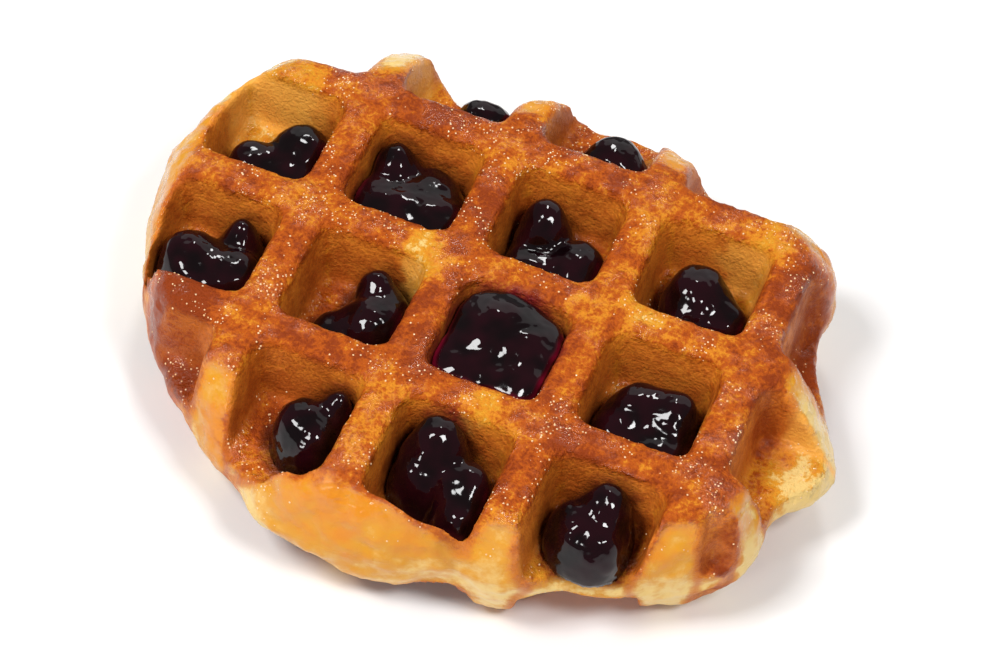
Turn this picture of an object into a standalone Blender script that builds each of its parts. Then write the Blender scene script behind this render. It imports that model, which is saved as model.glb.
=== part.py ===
"""Thick Liege-style waffle: puffy dough pressed into a square grid, with dark berry jam in its pockets.

Metres, +Z up. The waffle lies on its underside ridges at Z = 0, with its length along X.
Places on the waffle are given in millimetres from the centre of the middle pocket.
"""

import math

import bmesh
import bpy
import numpy as np

MM = 0.001

# Iron: a square grid of ridges, deeper on the top than on the underside
PITCH = 24.0
RIDGE_WIDTH = 6.0
TOP_DEPTH = 12.5
WEB = 5.0
BOTTOM_DEPTH = 10.5
WALL_DRAFT = math.radians(6.0)
RIM_ROUND = 0.9
FLOOR_ROUND = 1.6
CORNER_ROUND = 2.0
HEIGHT = BOTTOM_DEPTH + WEB + TOP_DEPTH
EQUATOR = BOTTOM_DEPTH + WEB / 2

# Where the middle pocket lies, so that the waffle's box is centred on the origin
MIDDLE_POCKET = (4.9, -9.0)

# The flat plateau that the iron closes on, and how far inside the dough's edge it stays
PLATEAU_CENTRE = (-7.0, 3.0)
PLATEAU_HALF = (47.0, 36.0)
PLATEAU_SQUARENESS = 6.0
LEAST_EDGE = 3.5
EDGE_BLEND = 2.0
UNDER_POWER = 1.5
UNDER_INSET = 4.0

# Where the dough did not rise to the iron: direction and spread in degrees, drop of the shoulder and
# extra width of the edge
SAGS = (
    (10, 16, 2.2, 3.0),
    (-122, 18, 1.2, 7.0),
)

# Dough that spread from the middle of the iron: a core and the lobes that ran on, as x, y, radius
CORE_CENTRE = (-4.0, 8.0)
CORE_HALF = (49.0, 31.0)
CORE_SQUARENESS = 4.0
LOBE_BLEND = 2.2
LOBES = (
    (-9, -24, 13),
    (3, -25, 8),
    (13, -26, 7),
    (25, -18, 9),
    (36, -10, 10),
    (47, 6, 6),
    (42, 12, 8),
    (36, 37, 7),
    (25, 35, 8),
    (14, 42, 8),
    (3, 44, 11),
    (-9, 49, 6),
    (-21, 40, 10),
    (-35, 48, 7),
    (-47, 36, 10),
    (-53, 29, 6),
    (-50, 17, 13),
    (-50, 7, 10),
    (-47, -3, 9),
    (-35, -16, 9),
    (-28, -23, 8),
    (-20, -29, 7),
)

# Facets
OUTLINE_STEPS = 112
EDGE_RINGS = 8
CORNER_STEPS = 3
JAM_STEPS = 32
JAM_FOOT = ((FLOOR_ROUND, 0.0), (0.0, FLOOR_ROUND))
JAM_SHARES = (0.97, 0.9, 0.8, 0.67, 0.52, 0.35, 0.17)

# Pockets that the iron pressed: columns from the left, rows from the back, the middle pocket is (2, 2)
COLUMNS = range(0, 5)
ROWS = range(0, 5)
MIDDLE_CELL = (2, 2)
CUTTER_CLEARANCE = 4.0

# Jam: gap to the dough, how square its pocket is, and how softly its lumps run together
JAM_GAP = 0.4
JAM_SQUARENESS = 7
JAM_FIT_POWER = 14
JAM_BLEND = 1.9
JAM_EDGE = 2.8
LUMP_SPREAD = 1.5
LUMP_BLEND = 0.8

# Each dollop's cell, and its lumps as x, y, radius and top, from the middle of the pocket floor
JAM = {
    "jam_back_left": ((1, 0), ((3.2, -5.2, 4.2, 9.4), (6.4, -4.6, 3.4, 8.8))),
    "jam_back_right": ((2, 0), ((2.4, -4.2, 5.0, 10.4), (6.4, -6.0, 3.4, 8.6), (-1.4, -7.0, 2.6, 7.6))),
    "jam_left_far": ((0, 1), ((-2.2, -3.8, 4.6, 8.2), (4.4, 1.6, 5.0, 9.6), (4.6, -4.2, 5.2, 8.0))),
    "jam_centre_left_far": ((1, 1), (
        (-5.2, 5.0, 3.8, 9.8), (-4.0, -2.6, 6.6, 7.8), (3.0, -2.6, 7.0, 8.2), (2.0, 3.2, 4.8, 7.6))),
    "jam_centre_far": ((2, 1), (
        (-2.9, 3.0, 4.4, 11.2), (4.6, -1.4, 4.8, 8.8), (-2.2, -4.4, 5.4, 7.4), (5.2, -5.6, 4.0, 7.6))),
    "jam_right_far": ((3, 1), ((-0.6, 0.6, 5.6, 10.4), (5.2, -2.2, 4.2, 8.2), (0.2, -5.8, 4.6, 7.0))),
    "jam_left": ((0, 2), (
        (-2.8, -1.2, 5.2, 9.2), (4.2, -1.4, 5.4, 8.6), (3.2, 5.4, 3.2, 9.8), (0.2, -4.6, 4.4, 7.8))),
    "jam_centre_left": ((1, 2), (
        (2.0, 4.6, 3.4, 9.8), (4.2, -1.0, 4.8, 9.2), (-0.4, -4.6, 5.4, 6.6), (5.6, 2.8, 3.2, 8.2))),
    "jam_centre": ((2, 2), (
        (-1.6, 3.4, 8.2, 13.2), (4.6, 2.2, 6.6, 12.4), (-4.4, -4.6, 6.4, 10.8), (4.4, -4.6, 6.6, 11.6))),
    "jam_right": ((3, 2), (
        (-1.6, 1.4, 4.6, 8.8), (4.0, 1.8, 4.6, 9.4), (-3.4, -3.4, 4.6, 6.8), (4.0, -4.8, 5.0, 7.4))),
    "jam_front_left": ((1, 3), ((1.8, 1.6, 4.6, 9.2), (4.2, -0.2, 4.2, 8.4), (5.8, 5.6, 3.0, 9.8))),
    "jam_front": ((2, 3), (
        (-2.2, 5.4, 4.8, 12.2), (4.2, 1.0, 4.8, 9.4), (5.2, -4.4, 4.0, 8.0), (-3.4, 0.6, 4.4, 8.4))),
    "jam_front_right": ((3, 3), ((0.8, 5.6, 4.0, 11.2), (-2.6, 1.8, 4.6, 8.8), (1.0, 0.4, 4.4, 8.4))),
}

DOUGH_COLOUR = (0.60, 0.24, 0.06)
DOUGH_ROUGHNESS = 0.5
JAM_COLOUR = (0.020, 0.004, 0.008)
JAM_ROUGHNESS = 0.12


def clear_scene():
    """Empty the scene."""
    for obj in list(bpy.data.objects):
        bpy.data.objects.remove(obj)


def make_material(name, colour, roughness):
    """A plain, non-metallic surface."""
    material = bpy.data.materials.new(name)
    material.use_nodes = True
    shader = material.node_tree.nodes["Principled BSDF"]
    shader.inputs["Base Color"].default_value = (*colour, 1.0)
    shader.inputs["Roughness"].default_value = roughness
    shader.inputs["Metallic"].default_value = 0.0
    return material


def add_object(name, rings, material):
    """A closed solid from rings of points, lowest first, each ring anticlockwise seen from above."""
    mesh = bpy.data.meshes.new(name)
    solid = bmesh.new()
    layers = []
    for ring in rings:
        layers.append([solid.verts.new([MM * value for value in point]) for point in ring])
    count = len(layers[0])
    for lower, upper in zip(layers, layers[1:]):
        for i in range(count):
            j = (i + 1) % count
            solid.faces.new((lower[i], lower[j], upper[j], upper[i]))
    solid.faces.new(list(reversed(layers[0])))
    solid.faces.new(layers[-1])
    solid.to_mesh(mesh)
    solid.free()
    mesh.materials.append(material)
    obj = bpy.data.objects.new(name, mesh)
    obj.location = (MM * MIDDLE_POCKET[0], MM * MIDDLE_POCKET[1], 0.0)
    bpy.context.scene.collection.objects.link(obj)
    return obj


def superellipse_radius(angle, half, squareness):
    """Distance from the centre of a rounded rectangle to its edge."""
    along = (abs(math.cos(angle)) / half[0]) ** squareness
    across = (abs(math.sin(angle)) / half[1]) ** squareness
    return (along + across) ** (-1 / squareness)


def dough_field(x, y):
    """Smooth union of the core and its lobes: above zero inside the dough."""
    u = abs(x - CORE_CENTRE[0]) / CORE_HALF[0]
    v = abs(y - CORE_CENTRE[1]) / CORE_HALF[1]
    core = 1 - (u ** CORE_SQUARENESS + v ** CORE_SQUARENESS) ** (1 / CORE_SQUARENESS)
    depths = [core * min(CORE_HALF)]
    for lobe_x, lobe_y, radius in LOBES:
        depths.append(radius - math.hypot(x - lobe_x, y - lobe_y))
    return LOBE_BLEND * np.logaddexp.reduce(np.array(depths) / LOBE_BLEND)


def outline_radius(angle):
    """Distance from the plateau's centre to the dough's edge, found by halving."""
    inner, outer = 20.0, 80.0
    while outer - inner > 0.01:
        middle = (inner + outer) / 2
        x = PLATEAU_CENTRE[0] + middle * math.cos(angle)
        y = PLATEAU_CENTRE[1] + middle * math.sin(angle)
        if dough_field(x, y) > 0:
            inner = middle
        else:
            outer = middle
    return (inner + outer) / 2


def sag(angle):
    """Drop of the dough's shoulder and extra width of its edge in one direction."""
    drop, width = 0.0, 0.0
    for direction, spread, most_drop, most_width in SAGS:
        turn = (math.degrees(angle) - direction + 180) % 360 - 180
        share = math.exp(-(turn / spread) ** 2)
        drop += most_drop * share
        width += most_width * share
    return drop, width


def plateau_radius(angle, edge):
    """Distance to the plateau's edge, which stays inside the dough's edge."""
    square = superellipse_radius(angle, PLATEAU_HALF, PLATEAU_SQUARENESS)
    limit = edge - LEAST_EDGE - sag(angle)[1]
    return -EDGE_BLEND * np.logaddexp(-square / EDGE_BLEND, -limit / EDGE_BLEND)


def dough_rings():
    """The unpressed dough: a flat plateau above and below, and an edge that bulges to the outline."""
    angles = [2 * math.pi * i / OUTLINE_STEPS for i in range(OUTLINE_STEPS)]
    edges = [outline_radius(angle) for angle in angles]
    flats = [plateau_radius(angle, edge) for angle, edge in zip(angles, edges)]
    rings = []
    for step in range(EDGE_RINGS + 1):
        tilt = math.pi * (step / EDGE_RINGS - 0.5)
        ring = []
        for angle, edge, flat in zip(angles, edges, flats):
            if tilt < 0:
                radius = flat - UNDER_INSET + (edge - flat + UNDER_INSET) * math.cos(tilt)
                z = EQUATOR * (1 - abs(math.sin(tilt)) ** UNDER_POWER)
            else:
                radius = flat + (edge - flat) * math.cos(tilt)
                z = EQUATOR + (HEIGHT - EQUATOR) * math.sin(tilt) ** (1 + sag(angle)[0])
            x = PLATEAU_CENTRE[0] + radius * math.cos(angle)
            y = PLATEAU_CENTRE[1] + radius * math.sin(angle)
            ring.append((x, y, z))
        rings.append(ring)
    return rings


def rounded_square(centre, half, corner, z):
    """A square ring with rounded corners, anticlockwise."""
    ring = []
    for quarter in range(4):
        middle = math.pi * (0.25 + 0.5 * quarter)
        corner_x = centre[0] + math.copysign(half - corner, math.cos(middle))
        corner_y = centre[1] + math.copysign(half - corner, math.sin(middle))
        for step in range(CORNER_STEPS):
            angle = middle + math.pi * 0.5 * (step / (CORNER_STEPS - 1) - 0.5)
            ring.append((corner_x + corner * math.cos(angle), corner_y + corner * math.sin(angle), z))
    return ring


def cell_centre(cell):
    """Centre of an iron block, from the middle pocket's centre."""
    return ((cell[0] - MIDDLE_CELL[0]) * PITCH, (MIDDLE_CELL[1] - cell[1]) * PITCH)


def block_half(depth):
    """Half width of an iron block at a depth below the ridge tops."""
    return (PITCH - RIDGE_WIDTH) / 2 - depth * math.tan(WALL_DRAFT)


def block_rings(cell, depth):
    """Centre of an iron block, and its depths and half widths from its flared foot to its rounded tip."""
    centre = cell_centre(cell)
    levels = (
        (-CUTTER_CLEARANCE, block_half(0) + RIM_ROUND),
        (0.0, block_half(0) + RIM_ROUND),
        (RIM_ROUND, block_half(RIM_ROUND)),
        (depth - FLOOR_ROUND, block_half(depth - FLOOR_ROUND)),
        (depth, block_half(depth) - FLOOR_ROUND),
    )
    return centre, levels


def top_block(cell, material):
    """Cutter for a pocket in the top."""
    centre, levels = block_rings(cell, TOP_DEPTH)
    rings = []
    for below, half in reversed(levels):
        rings.append(rounded_square(centre, half, CORNER_ROUND, HEIGHT - below))
    return add_object(f"top_block_{cell[0]}_{cell[1]}", rings, material)


def bottom_block(cell, material):
    """Cutter for a pocket in the underside."""
    centre, levels = block_rings(cell, BOTTOM_DEPTH)
    rings = []
    for above, half in levels:
        rings.append(rounded_square(centre, half, CORNER_ROUND, above))
    return add_object(f"bottom_block_{cell[0]}_{cell[1]}", rings, material)


def make_dough(material):
    """Press both faces of the dough with the iron's blocks."""
    dough = add_object("dough", dough_rings(), material)
    blocks = bpy.data.collections.new("iron_blocks")
    for column in COLUMNS:
        for row in ROWS:
            cell = (column, row)
            for block in (top_block(cell, material), bottom_block(cell, material)):
                bpy.context.scene.collection.objects.unlink(block)
                blocks.objects.link(block)
                block.hide_render = True
                block.display_type = "WIRE"
    press = dough.modifiers.new("press", "BOOLEAN")
    press.operation = "DIFFERENCE"
    press.operand_type = "COLLECTION"
    press.collection = blocks
    bpy.context.scene.collection.children.link(blocks)
    graph = bpy.context.evaluated_depsgraph_get()
    pressed = bpy.data.meshes.new_from_object(dough.evaluated_get(graph))
    dough.modifiers.clear()
    dough.data = pressed
    for block in list(blocks.objects):
        bpy.data.objects.remove(block)
    bpy.data.collections.remove(blocks)
    return dough


def jam_heart(lumps):
    """The middle of a dollop, that its outline is drawn around."""
    weights = [radius ** 2 for _, _, radius, _ in lumps]
    x = sum(weight * lump[0] for weight, lump in zip(weights, lumps)) / sum(weights)
    y = sum(weight * lump[1] for weight, lump in zip(weights, lumps)) / sum(weights)
    return x, y


def jam_field(lumps, x, y):
    """Smooth union of a dollop's lumps: above zero inside it."""
    depths = [radius - math.hypot(x - lump_x, y - lump_y) for lump_x, lump_y, radius, _ in lumps]
    return JAM_BLEND * np.logaddexp.reduce(np.array(depths) / JAM_BLEND)


def jam_reach(lumps, heart, angle):
    """Distance from a dollop's heart to its edge, found by halving."""
    inner, outer = 0.0, 20.0
    while outer - inner > 0.01:
        middle = (inner + outer) / 2
        if jam_field(lumps, heart[0] + middle * math.cos(angle), heart[1] + middle * math.sin(angle)) > 0:
            inner = middle
        else:
            outer = middle
    return inner


def jam_height(lumps, x, y):
    """Height above the pocket floor: domes that meet in soft creases and round off at the edge."""
    domes = []
    for lump_x, lump_y, radius, top in lumps:
        share = min(math.hypot(x - lump_x, y - lump_y) / (radius * LUMP_SPREAD), 1.0)
        domes.append(top * math.sqrt(1 - share ** 2))
    inside = min(max(jam_field(lumps, x, y), 0.0) / JAM_EDGE, 1.0)
    dome = LUMP_BLEND * np.logaddexp.reduce(np.array(domes) / LUMP_BLEND)
    return dome * math.sqrt(1 - (1 - inside) ** 2)


def hold_inside(x, y, limit):
    """Keep a place just inside a rounded square pocket, without a crease."""
    reach = math.hypot(x, y)
    edge = superellipse_radius(math.atan2(y, x), (limit, limit), JAM_SQUARENESS)
    share = 1 / (1 + (reach / edge) ** JAM_FIT_POWER) ** (1 / JAM_FIT_POWER)
    return x * share, y * share


def jam_rings(cell, lumps):
    """A dollop: its foot on the pocket floor, its sides along the walls and its lumps on top."""
    centre = cell_centre(cell)
    floor = HEIGHT - TOP_DEPTH + JAM_GAP
    heart = jam_heart(lumps)
    angles = [2 * math.pi * i / JAM_STEPS for i in range(JAM_STEPS)]
    reaches = [jam_reach(lumps, heart, angle) for angle in angles]
    levels = [(1.0, inset, least) for inset, least in JAM_FOOT]
    levels += [(share, 0.0, JAM_FOOT[-1][1]) for share in JAM_SHARES]
    rings = []
    for share, inset, least in levels:
        ring = []
        for angle, reach in zip(angles, reaches):
            x = heart[0] + (share * reach - inset) * math.cos(angle)
            y = heart[1] + (share * reach - inset) * math.sin(angle)
            height = least if share == 1.0 else max(least, jam_height(lumps, x, y))
            limit = block_half(max(HEIGHT - floor - height, 0.0)) - JAM_GAP - inset
            x, y = hold_inside(x, y, limit)
            ring.append((centre[0] + x, centre[1] + y, floor + height))
        rings.append(ring)
    return rings


def make_jam(name, shape, material):
    """One dollop of jam."""
    return add_object(name, jam_rings(*shape), material)


def build():
    """Make the whole waffle."""
    clear_scene()
    dough_material = make_material("dough", DOUGH_COLOUR, DOUGH_ROUGHNESS)
    jam_material = make_material("jam", JAM_COLOUR, JAM_ROUGHNESS)
    make_dough(dough_material)
    for name, shape in JAM.items():
        make_jam(name, shape, jam_material)


build()
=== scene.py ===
"""Looks of a thick pearl-sugar waffle with dark berry jam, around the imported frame. Metres, +Z up."""

import math

import bmesh
import bpy
import numpy as np
from mathutils import Matrix, Vector


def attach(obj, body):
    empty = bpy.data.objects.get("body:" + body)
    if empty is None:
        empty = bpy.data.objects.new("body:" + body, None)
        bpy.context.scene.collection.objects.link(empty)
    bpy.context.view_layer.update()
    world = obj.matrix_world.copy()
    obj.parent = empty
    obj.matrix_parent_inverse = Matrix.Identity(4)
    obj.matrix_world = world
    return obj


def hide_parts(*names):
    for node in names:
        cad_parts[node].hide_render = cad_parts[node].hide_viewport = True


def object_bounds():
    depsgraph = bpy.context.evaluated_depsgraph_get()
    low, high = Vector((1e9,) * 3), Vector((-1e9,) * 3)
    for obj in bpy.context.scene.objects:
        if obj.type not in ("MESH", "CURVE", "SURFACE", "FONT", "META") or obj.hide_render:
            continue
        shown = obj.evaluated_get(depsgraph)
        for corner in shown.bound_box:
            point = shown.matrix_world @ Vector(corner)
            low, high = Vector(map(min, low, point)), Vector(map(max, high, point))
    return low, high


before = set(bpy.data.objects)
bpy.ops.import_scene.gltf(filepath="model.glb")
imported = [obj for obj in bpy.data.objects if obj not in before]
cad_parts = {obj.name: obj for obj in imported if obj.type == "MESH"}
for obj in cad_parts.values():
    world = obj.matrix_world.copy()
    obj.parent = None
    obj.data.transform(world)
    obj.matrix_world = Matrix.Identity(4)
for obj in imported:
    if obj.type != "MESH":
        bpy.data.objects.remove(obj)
CAD_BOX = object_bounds()

MM = 0.001

# Iron: a square grid of ridges, deeper on the top than on the underside
PITCH = 24.0
RIDGE_WIDTH = 6.0
TOP_DEPTH = 12.5
WEB = 5.0
BOTTOM_DEPTH = 10.5
WALL_DRAFT = math.radians(6.0)
RIM_ROUND = 0.6
FLOOR_ROUND = 1.6
HEIGHT = BOTTOM_DEPTH + WEB + TOP_DEPTH
EQUATOR = BOTTOM_DEPTH + WEB / 2
MIDDLE_POCKET = (4.9, -9.0)
MIDDLE_CELL = (2, 2)
CELLS_ACROSS = 5

# The flat plateau that the iron closes on
PLATEAU_CENTRE = (-7.0, 3.0)
PLATEAU_HALF = (47.0, 36.0)
PLATEAU_SQUARENESS = 6.0
LEAST_EDGE = 3.5
EDGE_BLEND = 2.0
UNDER_POWER = 1.5
UNDER_INSET = 4.0

# Where the dough did not rise to the iron: direction and spread in degrees, drop of the shoulder and
# extra width of the edge
SAGS = (
    (10, 16, 2.2, 3.0),
    (-122, 18, 1.2, 7.0),
)

# Dough that spread from the middle of the iron: a core and the lobes that ran on, as x, y, radius
CORE_CENTRE = (-4.0, 8.0)
CORE_HALF = (49.0, 31.0)
CORE_SQUARENESS = 4.0
LOBE_BLEND = 2.2
LOBES = (
    (-9, -24, 13),
    (3, -25, 8),
    (13, -26, 7),
    (25, -18, 9),
    (36, -10, 10),
    (47, 6, 6),
    (42, 12, 8),
    (36, 37, 7),
    (25, 35, 8),
    (14, 42, 8),
    (3, 44, 11),
    (-9, 49, 6),
    (-21, 40, 10),
    (-35, 48, 7),
    (-47, 36, 10),
    (-53, 29, 6),
    (-50, 17, 13),
    (-50, 7, 10),
    (-47, -3, 9),
    (-35, -16, 9),
    (-28, -23, 8),
    (-20, -29, 7),
)
# Mesh of the dough: steps around its outline, rings up its edge, size of the even mesh's cells, and how far
# free dough puffs out and the crust is roughened
OUTLINE_STEPS = 256
EDGE_RINGS = 24
VOXEL = 0.67
PUFF = 1.0
ROUGHENING = 0.34

# Halving stops when it has narrowed an edge down to this, after starting between these distances
HALVING_STOP = 0.01
DOUGH_EDGE_BETWEEN = (20.0, 80.0)
JAM_EDGE_BETWEEN = (0.0, 20.0)

# One block of the iron: how square it is in plan, and how far its foot can flare, in rim roundings
BLOCK_SQUARENESS = 10.0
MOST_FLARE = 0.5

# Where the crust counts as marked by the iron: fully up to the first distance and not at all past the
# second, from a wall or floor, below a face and below a floor; and how far past a wall its floor goes on
NEAR_IRON = (0.3, 1.0)
BELOW_FACE = (0.3, 1.4)
BELOW_FLOOR = (0.2, 1.2)
BEYOND_WALL = 0.4

# Depths between which a pocket's wall takes on its own colour, and how near to jam the dough is stained and
# given painted contact shade
WALL_STARTS = (0.8, 2.2)
STAIN_REACH = (0.2, 2.4)

# How many times the marks are blurred, closely and widely, and the crust is rounded
CLOSE_BLUR = 3
WIDE_BLUR = 10
ROUNDING = 10

# Patterns of the crust: waves a metre, detail and roughness
BROAD_PUFFS = (110.0, 2.0, 0.5)
SMALL_PUFFS = (330.0, 3.0, 0.6)
TINY_BUMPS = (800.0, 2.0, 0.5)
CLOUDS = (75.0, 3.0, 0.55)
FLECKS = (430.0, 3.0, 0.6)
PATCHES = (230.0, 3.0, 0.6)

# Browned spots: where their edge starts as a share of the radius, and how far it wanders in metres
SPOT_HEART = 0.3
SPOT_WANDER = 0.012

# Jam: how far it sinks into the dough around it, how square its pocket is, how softly its lumps run
# together, how far and from what height it laps over the ridges, its mesh and its ripples
JAM_SINK = 0.35
JAM_SQUARENESS = 7
JAM_FIT_POWER = 14
JAM_BLEND = 1.9
JAM_EDGE = 2.8
LUMP_SPREAD = 1.5
LUMP_BLEND = 0.8
JAM_LAP = 2.6
LAP_STARTS_BELOW = 0.2
LAP_RISE = 0.6
JAM_STEPS = 128
JAM_RINGS = 40
JAM_RING_POWER = 1.5
JAM_RIPPLE = 0.45

# Beads of melted sugar: how many on a square metre where they are thickest, their radii, how flat they
# lie, and the seed of their places and sizes
BEAD_DENSITY = 1500000.0
BEAD_RADII = (0.05, 0.20)
BEAD_FLATNESS = 0.6
BEAD_SEED = 7

# Where the crust browned more or less than the rest: x, y and radius from the middle pocket, and how much
BROWNED = (
    (-50, -17, 13, 0.80),
    (-33, -28, 6, 0.25),
    (43, 29, 11, 0.42),
    (43, -17, 3, 0.45),
    (50, -13, 7, -0.30),
    (-15, -37, 11, 0.16),
    (41, 6, 4, 0.35),
    (-15, 9, 6, -0.60),
    (19, 14, 6, -0.35),
    (9, 11, 4, -0.25),
    (1, -12, 4, -0.30),
    (-52, 32, 13, -0.40),
    (-35, 46, 9, -0.30),
    (31, 35, 10, -0.25),
    (51, 5, 11, -0.50),
    (26, -33, 12, -0.18),
)

# Each dollop's cell, and its lumps as x, y, radius and top, from the middle of the pocket floor
JAM = {
    "jam_back_left": ((1, 0), ((3.2, -5.2, 4.2, 9.4), (6.4, -4.6, 3.4, 8.8))),
    "jam_back_right": ((2, 0), ((2.4, -4.2, 5.0, 10.4), (6.4, -6.0, 3.4, 8.6), (-1.4, -7.0, 2.6, 7.6))),
    "jam_left_far": ((0, 1), ((-2.2, -3.8, 4.6, 8.2), (4.4, 1.6, 5.0, 9.6), (4.6, -4.2, 5.2, 8.0))),
    "jam_centre_left_far": ((1, 1), (
        (-5.2, 5.0, 3.8, 9.8), (-4.0, -2.6, 6.6, 7.8), (3.0, -2.6, 7.0, 8.2), (2.0, 3.2, 4.8, 7.6))),
    "jam_centre_far": ((2, 1), (
        (-2.9, 3.0, 4.4, 11.2), (4.6, -1.4, 4.8, 8.8), (-2.2, -4.4, 5.4, 7.4), (5.2, -5.6, 4.0, 7.6))),
    "jam_right_far": ((3, 1), ((-0.6, 0.6, 5.6, 10.4), (5.2, -2.2, 4.2, 8.2), (0.2, -5.8, 4.6, 7.0))),
    "jam_left": ((0, 2), (
        (-2.8, -1.2, 5.2, 9.2), (4.2, -1.4, 5.4, 8.6), (3.2, 5.4, 3.2, 9.8), (0.2, -4.6, 4.4, 7.8))),
    "jam_centre_left": ((1, 2), (
        (2.0, 4.6, 3.4, 9.8), (4.2, -1.0, 4.8, 9.2), (-0.4, -4.6, 5.4, 6.6), (5.6, 2.8, 3.2, 8.2))),
    "jam_centre": ((2, 2), (
        (-1.6, 3.4, 8.2, 13.2), (4.6, 2.2, 6.6, 12.4), (-4.4, -4.6, 6.4, 10.8), (4.4, -4.6, 6.6, 11.6))),
    "jam_right": ((3, 2), (
        (-1.6, 1.4, 4.6, 8.8), (4.0, 1.8, 4.6, 9.4), (-3.4, -3.4, 4.6, 6.8), (4.0, -4.8, 5.0, 7.4))),
    "jam_front_left": ((1, 3), ((1.8, 1.6, 4.6, 9.2), (4.2, -0.2, 4.2, 8.4), (5.8, 5.6, 3.0, 9.8))),
    "jam_front": ((2, 3), (
        (-2.2, 5.4, 4.8, 12.2), (4.2, 1.0, 4.8, 9.4), (5.2, -4.4, 4.0, 8.0), (-3.4, 0.6, 4.4, 8.4))),
    "jam_front_right": ((3, 3), ((0.8, 5.6, 4.0, 11.2), (-2.6, 1.8, 4.6, 8.8), (1.0, 0.4, 4.4, 8.4))),
}

# Camera at the photograph's angle
CAMERA_PLACE = (0.08159, -0.26736, 0.39284)
CAMERA_TARGET = (0.00379, -0.00833, 0.028)
CAMERA_ROLL = math.radians(6.42)
LENS_MM = 110.07
SENSOR_MM = 36.0

# Lights: name, place, target, sides, and power in watts; and the brightness of the pale room
LIGHTS = (
    ("soft_box", (-0.22, -0.24, 0.62), (0, 0, 0), (0.18, 0.18), 3.0),
    ("small_soft_box", (0.26, -0.16, 0.56), (0, 0, 0), (0.12, 0.12), 1.7),
    ("front_box", (-0.28, -0.60, 0.24), (0, 0, 0), (0.10, 0.10), 0.75),
    ("back_box", (-0.12, 0.40, 0.58), (0, 0, 0), (0.09, 0.09), 0.8),
    ("screen", (-0.05, 0.75, 0.50), (0, 0, 0.02), (1.2, 0.6), 1.6),
)
ROOM_STRENGTH = 0.20
FLOOR_HALF = 2.0
FLOOR_COLOUR = (0.9, 0.9, 0.9, 1.0)

# Colours of the crust from raw to dark, and the levels of browning between which each one comes in
CRUST = {
    "Pale": (0.84, 0.58, 0.20, 1.0),
    "Yellow": (0.70, 0.30, 0.018, 1.0),
    "Golden": (0.70, 0.235, 0.014, 1.0),
    "Brown": (0.47, 0.088, 0.005, 1.0),
    "Dark": (0.27, 0.040, 0.004, 1.0),
}
COMES_IN = {"Yellow": (0.02, 0.26), "Golden": (0.22, 0.5), "Brown": (0.46, 0.76), "Dark": (0.72, 1.05)}

# Colours of the pockets' walls, with painted shade deep down; of dough where jam ran in, with painted
# contact shade low down; of jam; and of sugar beads, whose pale end is a painted glint
WALL_HIGH = (0.74, 0.225, 0.022, 1.0)
# Painted shade: the walls' colour deep in a pocket, where less light reaches
WALL_DEEP_SHADE = (0.56, 0.145, 0.018, 1.0)
WALL_SPECKLE = (0.40, 0.075, 0.007, 1.0)
WALL_PALE = (0.92, 0.42, 0.07, 1.0)
WALL_BURNT = (0.30, 0.045, 0.004, 1.0)
# Painted contact shade as well as jam that ran in: the dark brown low down by the jam
STAIN_SHADE_LOW = (0.070, 0.010, 0.003, 1.0)
STAIN_HIGH = (0.17, 0.004, 0.014, 1.0)
JAM_DARK = (0.003, 0.0006, 0.0012, 1.0)
JAM_LIT = (0.012, 0.001, 0.003, 1.0)
JAM_THIN_LOW = (0.050, 0.014, 0.004, 1.0)
JAM_THIN_HIGH = (0.24, 0.004, 0.026, 1.0)
JAM_IOR = 1.37
BEAD_AMBER = (0.80, 0.40, 0.10, 1.0)
# Painted glint: the near-white of the palest beads
BEAD_GLINT_WHITE = (1.0, 0.86, 0.62, 1.0)

# Point attributes that the crust's tree stores and the dough's material reads
CRUST_NOTES = ("pressed", "near_pressed", "depth", "mottle", "wet", "browned", "wall", "stain")


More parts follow.
